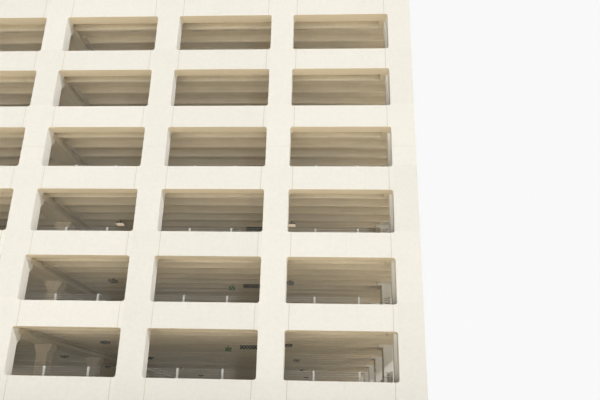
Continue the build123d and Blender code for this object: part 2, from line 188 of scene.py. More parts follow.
@dataclass(frozen=True)
class Grid:
    """Setting-out of the building."""

    half: float  # Half the width of the square plan
    base: float  # Height of the lowest spandrels' underside
    storey: float  # Storey height
    deck: float  # Depth from the stems' underside to the driving surface
    top: float  # Height of the parapet
    bays: int = 6  # Number of bays of a face
    storeys: int = 6  # Number of storeys
    pier: float = 1.12  # Width of a pier
    front_pier: float = 0.64  # Depth of the front and back piers
    side_pier: float = 1.24  # Depth of the side piers
    ear: float = 0.17  # Width of the ears that carry the spandrels
    spandrel: float = 1.14  # Height of a spandrel
    stems_per_bay: int = 5  # Number of stems in a bay
    front_guard: float = 1.01  # Distance of the front and back guards behind their faces
    side_guard: float = 1.3425  # Distance of the side guards behind theirs
    post: float = 0.085  # Width of a guard post

    @classmethod
    def read(cls) -> Grid:
        """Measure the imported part.

        Returns:
            Its setting-out.
        """
        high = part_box("corner_piers")[1]
        base, first, roof = (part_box(node)[1].z for node in (
            "front_base_walls", "level_1_topping", "roof_topping"))
        return cls(high.x, base, (roof - first) / cls.storeys, first - base, high.z)

    @property
    def bay(self) -> float:
        """Distance between pier lines."""
        return (2 * self.half - self.pier) / self.bays

    @property
    def stem(self) -> float:
        """Distance between the stems of the decks."""
        return self.bay / self.stems_per_bay

    @property
    def lines(self) -> list[float]:
        """Places of the pier lines along a face."""
        return [(i - self.bays / 2) * self.bay for i in range(self.bays + 1)]

    def pier_depth(self, side: Side) -> float:
        """Depth of the piers of a face."""
        return self.side_pier if side.flank else self.front_pier

    def guard(self, side: Side) -> float:
        """Distance of the guard behind a face."""
        return self.side_guard if side.flank else self.front_guard

    def guard_end(self, side: Side) -> float:
        """Distance of a face's last guard post from its middle."""
        return self.half - (self.front_guard if side.flank else self.side_guard)

    def soffit(self, deck: int) -> float:
        """Height of the stems' underside at a deck."""
        return self.base + deck * self.storey

    def floor(self, deck: int) -> float:
        """Height of the driving surface of a deck."""
        return self.soffit(deck) + self.deck

    def spot(self, side: Side, along: float, depth: float, height: float,
             turn: float = 0.0, rise: float = 1.0) -> Spot:
        """Set out a spot on a face.

        Args:
            side: The face.
            along: Distance along the face from its middle.
            depth: Distance behind its outer surface.
            height: Height above the ground.
            turn: Turn of the copy on the face.
            rise: Stretch of the copy's height.

        Returns:
            The spot, in the frame of the part.
        """
        place = Vector((along, depth - self.half, height))
        return Spot(Matrix.Rotation(side.turn, 4, "Z") @ place, side.turn + turn,
                    (1.0, 1.0, rise))


@dataclass(frozen=True)
class Term:
    """What a node gives, which takes part in sums as a number does."""

    graph: Graph  # The tree that it is in
    socket: Socket  # Where it comes out

    def __add__(self, other: object) -> Term:
        """Sum."""
        return self.graph.math("ADD", self, other)

    def __sub__(self, other: object) -> Term:
        """Difference."""
        return self.graph.math("SUBTRACT", self, other)

    def __rsub__(self, other: object) -> Term:
        """Difference from a number."""
        return self.graph.math("SUBTRACT", other, self)

    def __mul__(self, other: object) -> Term:
        """Product."""
        return self.graph.math("MULTIPLY", self, other)

    def __truediv__(self, other: object) -> Term:
        """Quotient."""
        return self.graph.math("DIVIDE", self, other)

    def __lt__(self, other: object) -> Term:
        """1 where it is less, otherwise 0."""
        return self.graph.math("LESS_THAN", self, other)

    def __gt__(self, other: object) -> Term:
        """1 where it is greater, otherwise 0."""
        return self.graph.math("GREATER_THAN", self, other)

    def __abs__(self) -> Term:
        """Its value without the sign."""
        return self.graph.math("ABSOLUTE", self)

    def __floor__(self) -> Term:
        """The whole number below it."""
        return self.graph.math("FLOOR", self)

    def rest(self) -> Term:
        """What it has above the whole number below it."""
        return self.graph.math("FRACT", self)

    def map(self, low: object, high: object, start: object = 0.0, end: object = 1.0) -> Term:
        """Map low..high to start..end, held at both ends."""
        inputs = dict(enumerate((self, low, high, start, end)))
        return self.graph.get("ShaderNodeMapRange", inputs)


@dataclass(frozen=True)
class Graph:
    """Adds nodes to a tree and joins them."""

    tree: Tree  # The tree to fill

    def feed(self, socket: Socket, value: object) -> None:
        """Join a socket to a term, or set it.

        Args:
            socket: Where it goes in.
            value: The term or the plain value.
        """
        if isinstance(value, Term):
            self.tree.links.new(value.socket, socket)
        else:
            socket.default_value = value

    def add(self, kind: str, inputs: dict | None = None, **settings: object) -> bpy.types.Node:
        """Add a node.

        Args:
            kind: The node's type.
            inputs: Values or terms by input name or number.
            **settings: Properties of the node.

        Returns:
            The node.
        """
        made = self.tree.nodes.new(kind)
        for key, value in settings.items():
            setattr(made, key, value)
        for key, value in (inputs or {}).items():
            self.feed(made.inputs[key], value)
        return made

    def get(self, kind: str, inputs: dict | None = None, out: str | int = 0,
            **settings: object) -> Term:
        """Add a node and return one of its outputs, by name or number."""
        return Term(self, self.add(kind, inputs, **settings).outputs[out])

    def math(self, operation: str, *values: object) -> Term:
        """Add a math node and return its result."""
        return self.get("ShaderNodeMath", dict(enumerate(values)), operation=operation)

    def vector(self, operation: str, *values: object) -> Term:
        """Add a vector math node and return its vector."""
        return self.get("ShaderNodeVectorMath", dict(enumerate(values)), operation=operation)

    def split(self, vector: Term) -> list[Term]:
        """Return the three parts of a vector."""
        parts = self.add("ShaderNodeSeparateXYZ", {0: vector}).outputs
        return [Term(self, part) for part in parts]

    def join(self, x: object = 0.0, y: object = 0.0, z: object = 0.0) -> Term:
        """Return the vector of three parts."""
        return self.get("ShaderNodeCombineXYZ", {0: x, 1: y, 2: z})

    def blend(self, factor: object, first: object, second: object, mode: str = "MIX") -> Term:
        """Mix two colours and return the result."""
        inputs = {0: factor, 6: full(first), 7: full(second)}
        return self.get("ShaderNodeMix", inputs, 2, data_type="RGBA", blend_type=mode)

    def noise(self, place: Term, scale: object, detail: float, distortion: float = 0.0) -> Term:
        """Add a noise texture and return its value."""
        inputs = {"Vector": place, "Scale": scale, "Detail": detail, "Distortion": distortion}
        return self.get("ShaderNodeTexNoise", inputs)


def new_group(kind: str, name: str, inputs: dict[str, str | float],
              outputs: dict[str, str]) -> tuple[Graph, dict[str, Term], dict[str, Socket]]:
    """Start a node group with its named sockets.

    Args:
        kind: Type of tree.
        name: Name of the group.
        inputs: Kind of each input by name, or the starting value of a number.
        outputs: Kind of each output by name.

    Returns:
        The group's graph, what its inputs give and what its outputs take.
    """
    tree = bpy.data.node_groups.new(name, kind)
    for way, sockets in (("INPUT", inputs), ("OUTPUT", outputs)):
        for key, value in sockets.items():
            plain = isinstance(value, float)
            made = tree.interface.new_socket(
                key, in_out=way, socket_type="NodeSocket" + ("Float" if plain else value))
            if plain:
                made.default_value = value
    graph = Graph(tree)
    source = graph.add("NodeGroupInput").outputs
    sink = graph.add("NodeGroupOutput").inputs
    return (graph, {key: Term(graph, source[key]) for key in inputs},
            {key: sink[key] for key in outputs})


class Effects:
    """Shader node groups that several finishes share.

    Args:
        grid: Setting-out of the building.
    """

    def __init__(self, grid: Grid) -> None:
        """Make the groups."""
        self.grid = grid
        self.grain = self.group("Grain", self.fill_grain, ("Tone", "Height"),
                                Scale=12.0, Spread=0.05)
        self.panels = self.group("Panels", self.fill_panels, ("Tone",),
                                 Cell="Vector", Spread=0.02)
        self.rain = self.group("Rain marks", self.fill_rain, ("Mask",), Width=9.0, Drop=0.5)
        self.pits = self.group("Pits", self.fill_pits, ("Mask",), Scale=14.0, Share=0.25)
        self.blotches = self.group("Blotches", self.fill_blotches, ("Mask",),
                                   Scale=0.5, Share=0.5)

    @staticmethod
    def group(name: str, fill: Callable[..., tuple[Term, ...]], outputs: tuple[str, ...],
              **inputs: str | float) -> Tree:
        """Make a group that starts from object coordinates.

        Args:
            name: Name of the group.
            fill: Works out its outputs from its graph and its inputs.
            outputs: Names of the outputs.
            **inputs: Kind or starting value of the other inputs.

        Returns:
            The group.
        """
        graph, source, sink = new_group("ShaderNodeTree", name, {"Place": "Vector"} | inputs,
                                        dict.fromkeys(outputs, "Float"))
        for key, value in zip(outputs, fill(graph, *source.values())):
            graph.feed(sink[key], value)
        return graph.tree

    @staticmethod
    def fill_grain(graph: Graph, place: Term, scale: Term, spread: Term) -> tuple[Term, ...]:
        """Fine and coarse grain.

        Args:
            graph: The group's graph.
            place: Object coordinates.
            scale: How fine the coarse grain is.
            spread: Largest difference of the tone from 1.

        Returns:
            The tone and the height.
        """
        fine, coarse = graph.noise(place, scale * 11.0, 2.0), graph.noise(place, scale, 4.0)
        both = fine * 0.45 + coarse * 0.55
        return both.map(0.3, 0.7, 1.0 - spread, spread + 1.0), both

    def fill_panels(self, graph: Graph, place: Term, cell: Term,
                    spread: Term) -> tuple[Term, ...]:
        """A tone round 1 that changes from one cast panel to the next.

        Args:
            graph: The group's graph.
            place: Object coordinates.
            cell: Size of a panel.
            spread: Largest difference from 1.

        Returns:
            The tone.
        """
        lift = 0.31  # brings the edges of the cells into the openings
        shifted = graph.vector("ADD", place, (self.grid.half, self.grid.half, lift))
        number = graph.vector("FLOOR", graph.vector("DIVIDE", shifted, cell))
        value = graph.get("ShaderNodeTexWhiteNoise", {"Vector": number}, "Value")
        return (value.map(0.0, 1.0, 1.0 - spread, spread + 1.0),)

    def fill_rain(self, graph: Graph, place: Term, width: Term, drop: Term) -> tuple[Term, ...]:
        """Thin upright marks that start at the top of each storey's panel and fade.

        Args:
            graph: The group's graph.
            place: Object coordinates.
            width: How narrow the marks are.
            drop: Share of the storey after which they are gone.

        Returns:
            The mask.
        """
        drawn_out = 0.045  # how much coarser the marks are along the upright
        long = graph.vector("MULTIPLY", place, (1.0, 1.0, drawn_out))
        marks = graph.noise(long, width, 5.0).map(0.52, 0.78)
        broad = graph.noise(long, 0.9, 2.0).map(0.4, 0.65)
        below = (self.grid.top + self.grid.storey) - graph.split(place)[2]
        return (marks * broad * (below / self.grid.storey).rest().map(0.0, drop, 1.0, 0.0),)

    @staticmethod
    def fill_pits(graph: Graph, place: Term, scale: Term, share: Term) -> tuple[Term, ...]:
        """Sparse air holes of a cast face.

        Args:
            graph: The group's graph.
            place: Object coordinates.
            scale: How closely the holes could stand.
            share: Share of them that are there.

        Returns:
            The mask.
        """
        cells = graph.add("ShaderNodeTexVoronoi", {
            "Vector": place, "Scale": scale, "Randomness": 1.0}).outputs
        pick = graph.split(Term(graph, cells["Color"]))[0]
        largest = 0.09  # radius of a hole, in cells
        size = pick.map(0.0, share, 1.0, 0.0) * largest
        hole = Term(graph, cells["Distance"]).map(size * 0.6, size, 1.0, 0.0)
        return (hole * (pick < share),)

    @staticmethod
    def fill_blotches(graph: Graph, place: Term, scale: Term, share: Term) -> tuple[Term, ...]:
        """Large soft-edged stains."""
        edge = 0.75 - share * 0.4
        return (graph.noise(place, scale, 6.0, 0.6).map(edge, edge + 0.18),)


@dataclass
class Brush:
    """What a finish paints with."""

    graph: Graph  # The material's nodes
    effects: Effects  # The shared groups
    place: Term  # Object coordinates
    up: Term  # How far the surface looks up, from -1 to 1
    surface: bpy.types.Node  # The Principled node
    colour: Rgb | Term  # The base colour so far

    def use(self, group: Tree, out: str = "Mask", **inputs: object) -> Term:
        """Add a shared group and return one of its outputs."""
        inputs["Place"] = self.place
        return self.graph.get("ShaderNodeGroup", inputs, out, node_tree=group)

    def grain(self, scale: float, spread: float) -> Term:
        """Give the colour the shared grain.

        Args:
            scale: How fine the grain is.
            spread: Largest change of the tone.

        Returns:
            The grain's height.
        """
        tone = self.use(self.effects.grain, "Tone", Scale=scale, Spread=spread)
        self.tone(tone)
        return Term(self.graph, tone.socket.node.outputs["Height"])

    def noise(self, scale: float, detail: float, stretch: Rgb = (1.0, 1.0, 1.0)) -> Term:
        """Add noise, finer along an axis with more stretch."""
        place = self.graph.vector("MULTIPLY", self.place, stretch)
        return self.graph.noise(place, scale, detail)

    def tone(self, factor: Term) -> None:
        """Lighten or darken the colour."""
        self.colour = self.graph.blend(1.0, self.colour, factor, "MULTIPLY")

    def stain(self, mask: Term, stain: Stain) -> None:
        """Lay a stain, or painted shade, over the colour."""
        self.colour = self.graph.blend(mask, self.colour, stain.value)

    def bump(self, height: Term, distance: float, strength: float) -> None:
        """Raise the surface by a height from 0 to 1, times a distance."""
        inputs = {"Height": height, "Distance": distance, "Strength": strength}
        self.graph.feed(self.surface.inputs["Normal"], self.graph.get("ShaderNodeBump", inputs))


@dataclass(frozen=True)
class Finish:
    """A surface finish."""

    name: str  # Name of the material
    colour: Rgb  # Linear base colour
    roughness: float = 0.85  # Roughness of the surface
    metallic: float = 0.0  # How far it is bare metal

    def build(self, effects: Effects) -> Material:
        """Make the material.

        Args:
            effects: The shared groups.

        Returns:
            The material.
        """
        material = bpy.data.materials.new(self.name)
        material.use_nodes = True
        material.diffuse_color = full(self.colour)
        material.node_tree.nodes.clear()
        graph = Graph(material.node_tree)
        place = graph.get("ShaderNodeTexCoord", out="Object")
        up = graph.split(graph.get("ShaderNodeNewGeometry", out="Normal"))[2]
        surface = graph.add("ShaderNodeBsdfPrincipled", {
            "Roughness": self.roughness, "Metallic": self.metallic})
        graph.add("ShaderNodeOutputMaterial", {"Surface": Term(graph, surface.outputs[0])})
        brush = Brush(graph, effects, place, up, surface, self.colour)
        self.paint(brush)
        graph.feed(surface.inputs["Base Color"], brush.colour)
        return material

    def paint(self, brush: Brush) -> None:
        """Fill the material's nodes."""
        raise NotImplementedError


@dataclass(frozen=True)
class PrecastFinish(Finish):
    """Off-white architectural precast: panel tones, grain, air holes, rain marks, and painted
    shade on its undersides.
    """

    rain: float = 0.08  # Share of the rain marks
    splash: float = 0.3  # Share of the soiling above the ground
    splash_height: float = 1.1  # Height that the soiling reaches
    spread: float = 0.025  # Difference in tone between panels

    def paint(self, brush: Brush) -> None:
        """Fill the material's nodes.

        Args:
            brush: What it paints with.
        """
        effects, grid = brush.effects, brush.effects.grid
        # Painted shade: faces that look down get a darker, warmer tint.
        brush.stain(brush.up.map(-0.3, -0.9), Stain.SHADE)
        brush.tone(brush.use(effects.panels, "Tone", Spread=self.spread,
                             Cell=(grid.bay, grid.bay, grid.storey)))
        height = brush.grain(7.0, 0.035)
        brush.stain(brush.use(effects.rain, Drop=0.55) * self.rain, Stain.RAIN)
        above = brush.graph.split(brush.place)[2]
        wet = above.map(0.0, self.splash_height, self.splash, 0.0)
        brush.stain(wet * brush.noise(1.7, 6.0).map(0.3, 0.7), Stain.SPLASH)
        settled = brush.noise(2.3, 5.0).map(0.35, 0.7, 0.1, 0.45)
        brush.stain(brush.up.map(0.5, 0.95) * settled, Stain.DUST)
        pits = brush.use(effects.pits, Scale=11.0, Share=0.3)
        brush.stain(pits * 0.35, Stain.WALL_PIT)
        brush.bump(height * 0.6 - pits, 0.0022, 0.6)


@dataclass(frozen=True)
class CastFinish(Finish):
    """Structural precast from a steel form: form marks, air holes, damp at the joints, and
    painted light on undersides and stem bottoms.
    """

    form: Rgb = (0.25, 3.0, 3.0)  # Stretch of the form marks along x, y and z
    damp: float = 0.35  # Share of the damp marks beside the joints of the deck units
    spread: float = 0.05  # Difference in tone between units
    foot: float = 0.02  # Height of the band at the stems' bottoms that gets a painted highlight
    foot_gain: float = 0.12  # How much lighter the painted highlight makes them

    def paint(self, brush: Brush) -> None:
        """Fill the material's nodes.

        Args:
            brush: What it paints with.
        """
        effects, grid = brush.effects, brush.effects.grid
        unit = 2 * grid.stem
        _, y, z = brush.graph.split(brush.place)
        marks = brush.noise(2.2, 5.0, self.form)
        # Band of the stems' bottom faces, which gets the painted highlight below
        foot = ((z - grid.base) / grid.storey).rest() < self.foot / grid.storey
        brush.tone(brush.use(effects.panels, "Tone", Spread=self.spread,
                             Cell=(grid.half, unit, grid.storey)))
        height = brush.grain(5.0, 0.06)
        # Painted light: faces that look down are lighter and upright faces darker, and a
        # painted highlight brightens the stems' bottom faces.
        brush.tone(marks.map(0.3, 0.7, 0.93, 1.07) * brush.up.map(-0.95, -0.3, 1.04, 0.92)
                   * (foot * (brush.up < -0.9) * self.foot_gain + 1.0))
        brush.stain(brush.use(effects.blotches, Scale=0.6, Share=0.6) * 0.25, Stain.LIME)
        along = ((y + grid.bay * grid.bays) / unit).rest()
        leak = brush.noise(0.8, 4.0).map(0.48, 0.62)
        brush.stain(abs(along - 0.5).map(0.44, 0.5) * leak * self.damp, Stain.DAMP)
        pits = brush.use(effects.pits, Scale=16.0, Share=0.35)
        brush.stain(pits * 0.4, Stain.DECK_PIT)
        brush.bump(height * 0.5 + marks * 0.5 - pits, 0.002, 0.6)


@dataclass(frozen=True)
class ToppingFinish(Finish):
    """Broomed driving surface with worn aisles, oil spots, joints and stall lines."""

    stall: float = 2.7  # Width of a stall
    stall_depth: float = 5.1  # Length of a stall
    line: float = 0.1  # Width of a painted line
    beam: float = 0.9  # Distance of the inner stalls from the middle of the plan
    kerb: float = 0.35  # Distance of the outer stalls from the side guard
    end: float = 0.6  # Distance of the last lines from the front guard, or more
    lane: float = 1.5  # Half the distance between the middles of the two lanes
    track: float = 0.75  # Half the distance between the tracks of a lane
    joint: float = 0.024  # Width of a joint

    def wall(self, grid: Grid) -> float:
        """Distance of the outer end of the stalls from the middle of the plan."""
        return grid.half - grid.side_guard - self.kerb

    def stalls(self, grid: Grid, x: Term, y: Term) -> Term:
        """Mask of the painted stall lines.

        Args:
            grid: Setting-out of the building.
            x: Place along x.
            y: Place along y.

        Returns:
            The mask.
        """
        inner, outer = ((abs(x) > start) * (abs(x) < start + self.stall_depth)
                        for start in (self.beam, self.wall(grid) - self.stall_depth))
        off = abs(((y + 50 * self.stall) / self.stall).rest() - 0.5)
        rows = math.floor((grid.half - grid.front_guard - self.end) / self.stall - 0.5) + 0.5
        within = abs(y) < rows * self.stall + self.line
        return (inner + outer) * (off < self.line / self.stall / 2) * within

    def paint(self, brush: Brush) -> None:
        """Fill the material's nodes.

        Args:
            brush: What it paints with.
        """
        effects, grid = brush.effects, brush.effects.grid
        x, y, _ = brush.graph.split(brush.place)
        height = brush.grain(6.0, 0.07)
        brush.stain(brush.use(effects.blotches, Scale=0.35, Share=0.7) * 0.3, Stain.DIRT)
        aisle = (self.beam + self.wall(grid)) / 2
        off = abs(abs(abs(abs(x) - aisle) - self.lane) - self.track)
        worn = brush.noise(1.2, 4.0, (3.0, 0.25, 1.0)).map(0.35, 0.7, 0.1, 0.4)
        brush.stain(off.map(0.05, 0.4, 1.0, 0.0) * worn, Stain.TYRE)
        brush.stain(brush.use(effects.pits, Scale=0.5, Share=0.6) * 0.5, Stain.OIL)
        faded = brush.noise(5.0, 6.0).map(0.3, 0.55, 0.35, 0.95)
        brush.stain(self.stalls(grid, x, y) * faded, Stain.PAINT)
        unit = 2 * grid.stem
        along = ((y + (grid.bay * grid.bays / 2 + 10 * unit)) / unit).rest()
        joint = abs(along - 0.5) > 0.5 - self.joint / 2 / unit
        brush.stain(joint, Stain.JOINT)
        broom = brush.noise(3.0, 2.0, (1.0, 60.0, 1.0))
        brush.bump(broom * 0.6 + height * 0.4 - joint, 0.002, 0.7)


@dataclass(frozen=True)
class MetalFinish(Finish):
    """Painted or zinc-coated metal with a little wear."""

    wear: float = 0.25  # Share of the worn spots
    worn: Stain = Stain.WEAR  # What the worn spots show

    def paint(self, brush: Brush) -> None:
        """Fill the material's nodes.

        Args:
            brush: What it paints with.
        """
        height = brush.grain(24.0, 0.05)
        brush.stain(brush.noise(37.0, 6.0).map(0.62, 0.72) * self.wear, self.worn)
        brush.stain(brush.up.map(0.5, 1.0) * 0.35, Stain.METAL_DUST)
        rough = height.map(0.3, 0.7, self.roughness - 0.08, self.roughness + 0.1)
        brush.graph.feed(brush.surface.inputs["Roughness"], rough)
        brush.bump(height, 0.0004, 0.5)


@dataclass(frozen=True)
class SoftFinish(Finish):
    """Sealant or plastic with a slightly uneven skin."""

    spread: float = 0.06  # Difference in tone over the surface
    scale: float = 4.0  # How fine the differences are

    def paint(self, brush: Brush) -> None:
        """Fill the material's nodes.

        Args:
            brush: What it paints with.
        """
        height = brush.grain(self.scale, self.spread)
        grime = brush.use(brush.effects.blotches, Scale=2.5, Share=0.5)
        brush.stain(grime * 0.2, Stain.GRIME)
        brush.bump(height, 0.0008, 0.5)


@dataclass(frozen=True)
class LensFinish(Finish):
    """A light cover that shines between two heights only."""

    glow: Rgb = srgb(255, 232, 200)  # Colour of its light
    power: Glow = Glow.ROOM  # How bright it shines
    low: float = 0.0  # Height above which it shines
    high: float = 0.0  # Height below which it shines

    def paint(self, brush: Brush) -> None:
        """Fill the material's nodes.

        Args:
            brush: What it paints with.
        """
        graph, inputs = brush.graph, brush.surface.inputs
        height = brush.grain(30.0, 0.08)
        z = graph.split(brush.place)[2]
        graph.feed(inputs["Emission Color"], full(self.glow))
        graph.feed(inputs["Emission Strength"],
                   (z > self.low) * (z < self.high) * self.power.value)
        brush.bump(height, 0.0005, 0.4)


def rectangle(width: float, depth: float, cut: float = 0.0) -> list:
    """Plan of a rectangle, anticlockwise, with its corners cut off.

    Args:
        width: Size along x.
        depth: Size along y.
        cut: Size of the cut at each corner.

    Returns:
        The outline.
    """
    x, y = width / 2, depth / 2
    if not cut:
        return [(-x, -y), (x, -y), (x, y), (-x, y)]
    return [(-x + cut, -y), (x - cut, -y), (x, -y + cut), (x, y - cut),
            (x - cut, y), (-x + cut, y), (-x, y - cut), (-x, -y + cut)]


class Shape:
    """Points and faces of a small mesh, gathered part by part."""

    def __init__(self) -> None:
        """Start with nothing."""
        self.points: list[Vector] = []
        self.faces: list[tuple[int, ...]] = []

    def take(self, points: list, faces: list, move: Matrix | None) -> Shape:
        """Add points and faces.

        Args:
            points: The points.
            faces: Faces, as numbers of these points.
            move: Where they go.

        Returns:
            This shape.
        """
        start = len(self.points)
        move = move or Matrix()
        self.points += [move @ Vector(point) for point in points]
        self.faces += [tuple(start + i for i in face) for face in faces]
        return self

    def prism(self, outline: list, low: float, high: float,
              move: Matrix | None = None) -> Shape:
        """Add an upright prism.

        Args:
            outline: Its plan, anticlockwise.
            low: Its bottom.
            high: Its top.
            move: Where it goes.

        Returns:
            This shape.
        """
        count = len(outline)
        points = [(*p, z) for z in (low, high) for p in outline]
        faces = [(i, (i + 1) % count, count + (i + 1) % count, count + i) for i in range(count)]
        faces += [tuple(reversed(range(count))), tuple(range(count, 2 * count))]
        return self.take(points, faces, move)

    def lathe(self, profile: list, sides: int, move: Matrix | None = None) -> Shape:
        """Add a turned solid.

        Args:
            profile: Radius and height of its rings, from the bottom up.
            sides: Number of its sides.
            move: Where it goes.

        Returns:
            This shape.
        """
        turns = [2 * math.pi * i / sides for i in range(sides)]
        points = [(r * math.cos(a), r * math.sin(a), z) for r, z in profile for a in turns]
        last = (len(profile) - 1) * sides
        faces = [(ring + i, ring + (i + 1) % sides, ring + sides + (i + 1) % sides,
                  ring + sides + i) for ring in range(0, last, sides) for i in range(sides)]
        faces += [tuple(reversed(range(sides))), tuple(range(last, last + sides))]
        return self.take(points, faces, move)

    def sweep(self, outline: list, section: list, move: Matrix | None = None) -> Shape:
        """Sweep a closed section round a plan with square corners.

        Args:
            outline: The plan, anticlockwise.
            section: Outward offset and height of each point, anticlockwise.
            move: Where it goes.

        Returns:
            This shape.
        """
        size, count = len(outline), len(section)
        points, faces = [], []
        for i in range(size):
            before, here, after = (Vector(outline[(i + k) % size]) for k in (-1, 0, 1))
            turn = (here - before).normalized() + (after - here).normalized()
            points += [(here.x + o * turn.y, here.y - o * turn.x, z) for o, z in section]
            a, b = i * count, (i + 1) % size * count
            faces += [(a + j, b + j, b + (j + 1) % count, a + (j + 1) % count)
                      for j in range(count)]
        return self.take(points, faces, move)

    def mesh(self, name: str) -> bpy.types.Mesh:
        """Make the mesh.

        Args:
            name: Its name.

        Returns:
            The mesh.
        """
        mesh = bpy.data.meshes.new(name)
        mesh.from_pydata(self.points, [], self.faces)
        mesh.validate()
        return mesh


class Setter:
    """Sets copies of shapes out over the building with Geometry Nodes."""

    def __init__(self) -> None:
        """Make the trees."""
        self.set_out = self.set_out_tree()
        self.screen = self.screen_tree()

    @staticmethod
    def turned(graph: Graph, extra: object = 0.0) -> Term:
        """Turn of each point, as a rotation."""
        turn = graph.get("GeometryNodeInputNamedAttribute", {"Name": "turn"}, "Attribute",
                         data_type="FLOAT")
        return graph.get("FunctionNodeEulerToRotation", {0: graph.join(z=turn + extra)})

    @staticmethod
    def copies(graph: Graph, points: Term, piece: Term, **inputs: Term) -> Term:
        """Put a piece on every point, as one mesh or curve."""
        made = graph.get("GeometryNodeInstanceOnPoints",
                         {"Points": points, "Instance": piece, **inputs})
        return graph.get("GeometryNodeRealizeInstances", {0: made})

    @staticmethod
    def close(graph: Graph, made: Term, source: dict, sink: dict) -> Tree:
        """End a tree with its finish."""
        graph.feed(sink["Geometry"], graph.get("GeometryNodeSetMaterial", {
            "Geometry": made, "Material": source["Finish"]}))
        return graph.tree

    def set_out_tree(self) -> Tree:
        """Tree that puts a piece on every point.

        Returns:
            The tree.
        """
        graph, source, sink = new_group(
            "GeometryNodeTree", "Set out",
            {"Points": "Geometry", "Piece": "Object", "Jitter": 0.0, "Finish": "Material"},
            {"Geometry": "Geometry"})
        piece = graph.get("GeometryNodeObjectInfo", {"Object": source["Piece"]}, "Geometry")
        jitter = graph.get("FunctionNodeRandomValue", {
            "Seed": SEED, 2: source["Jitter"] * -1.0, 3: source["Jitter"]}, 1,
            data_type="FLOAT")
        stretch = graph.get("GeometryNodeInputNamedAttribute", {"Name": "stretch"}, "Attribute",
                            data_type="FLOAT_VECTOR")
        made = self.copies(graph, source["Points"], piece, Rotation=self.turned(graph, jitter),
                           Scale=stretch)
        return self.close(graph, made, source, sink)

    def strands(self, graph: Graph, source: dict) -> Term:
        """One direction of slanting wires, cut off at the edges of the panel.

        Args:
            graph: The tree's graph.
            source: What the tree's inputs give.

        Returns:
            The wires, as straight lines.
        """
        length, height, pitch = (source[key] for key in ("Length", "Height", "Pitch"))
        count = math.floor((length + height) / pitch)
        starts = graph.get("GeometryNodeMeshLine", {"Count": count}, mode="OFFSET")
        wire = graph.get("GeometryNodeCurvePrimitiveLine", {"End": (1.0, 0.0, 0.0)})
        index = graph.get("GeometryNodeInputIndex")
        foot = (math.floor(index / 2.0) + 0.5) * pitch - height
        along = graph.get("ShaderNodeMix", {
            0: graph.math("MODULO", index, 2.0), 2: graph.math("MAXIMUM", foot, 0.0),
            3: graph.math("MINIMUM", foot + height, length)}, data_type="FLOAT")
        return graph.get("GeometryNodeSetPosition", {
            "Geometry": self.copies(graph, starts, wire),
            "Position": graph.join(along, source["Wire"], along - foot)})

    def screen_tree(self) -> Tree:
        """Tree that puts a panel of slanting wires on every point.

        Returns:
            The tree.
        """
        graph, source, sink = new_group(
            "GeometryNodeTree", "Screen weave",
            {"Points": "Geometry", "Length": 1.0, "Height": 1.0, "Pitch": 0.14,
             "Wire": 0.003, "Finish": "Material"}, {"Geometry": "Geometry"})
        end = graph.join(source["Length"])
        forward = self.strands(graph, source)
        backward = graph.get("GeometryNodeTransform", {
            "Geometry": forward, "Translation": end, "Scale": (-1.0, -1.0, 1.0)})
        rail = graph.get("GeometryNodeCurvePrimitiveLine", {"End": end})
        heights = graph.get("GeometryNodeMeshLine", {
            "Count": 3, "Offset": graph.join(z=source["Height"] * 0.5)}, mode="OFFSET")
        join = graph.add("GeometryNodeJoinGeometry")
        for part in (forward, backward, self.copies(graph, heights, rail)):
            graph.feed(join.inputs[0], part)
        section = graph.get("GeometryNodeCurvePrimitiveCircle", {
            "Resolution": 3, "Radius": source["Wire"]})
        panel = graph.get("GeometryNodeCurveToMesh", {
            "Curve": Term(graph, join.outputs[0]), "Profile Curve": section})
        made = self.copies(graph, source["Points"], panel, Rotation=self.turned(graph))
        return self.close(graph, made, source, sink)

    @staticmethod
    def points(name: str, spots: list[Spot]) -> Piece:
        """Make an object with one point per spot, which carries its turn and stretch.

        Args:
            name: Name of the piece.
            spots: The spots.

        Returns:
            The object.
        """
        mesh = bpy.data.meshes.new(name)
        mesh.from_pydata([spot.place for spot in spots], [], [])
        turn = mesh.attributes.new("turn", "FLOAT", "POINT")
        turn.data.foreach_set("value", [spot.turn for spot in spots])
        stretch = mesh.attributes.new("stretch", "FLOAT_VECTOR", "POINT")
        stretch.data.foreach_set("vector", [part for spot in spots for part in spot.stretch])
        return new_object(name, mesh)

    def harden(self, name: str, spots: list[Spot], tree: Tree, values: dict) -> Piece:
        """Run a tree on spots and keep the plain mesh.

        Args:
            name: Name of the piece.
            spots: Where the copies go.
            tree: The tree.
            values: Its inputs by name.

        Returns:
            The piece.
        """
        made = self.points(name, spots)
        modifier = made.modifiers.new(tree.name, "NODES")
        modifier.node_group = tree
        for item in tree.interface.items_tree:
            if item.in_out == "INPUT" and item.name in values:
                modifier[item.identifier] = values[item.name]
        made.update_tag()
        bpy.context.view_layer.update()
        state = bpy.context.evaluated_depsgraph_get()
        mesh = bpy.data.meshes.new_from_object(made.evaluated_get(state))
        made.modifiers.clear()
        points = made.data
        made.data = mesh
        bpy.data.meshes.remove(points)
        mesh.name = name
        return made

    def scatter(self, name: str, shape: Shape, spots: list[Spot], finish: Material,
                jitter: float) -> Piece:
        """Set copies of a shape out on spots.

        Args:
            name: Name of the piece.
            shape: What is copied.
            spots: Where the copies go.
            finish: Their material.
            jitter: Largest random turn of a copy.

        Returns:
            The piece.
        """
        model = new_object(f"{name}_model", shape.mesh(f"{name}_model"))
        made = self.harden(name, spots, self.set_out, {
            "Piece": model, "Jitter": jitter, "Finish": finish})
        bpy.data.objects.remove(model)
        return made


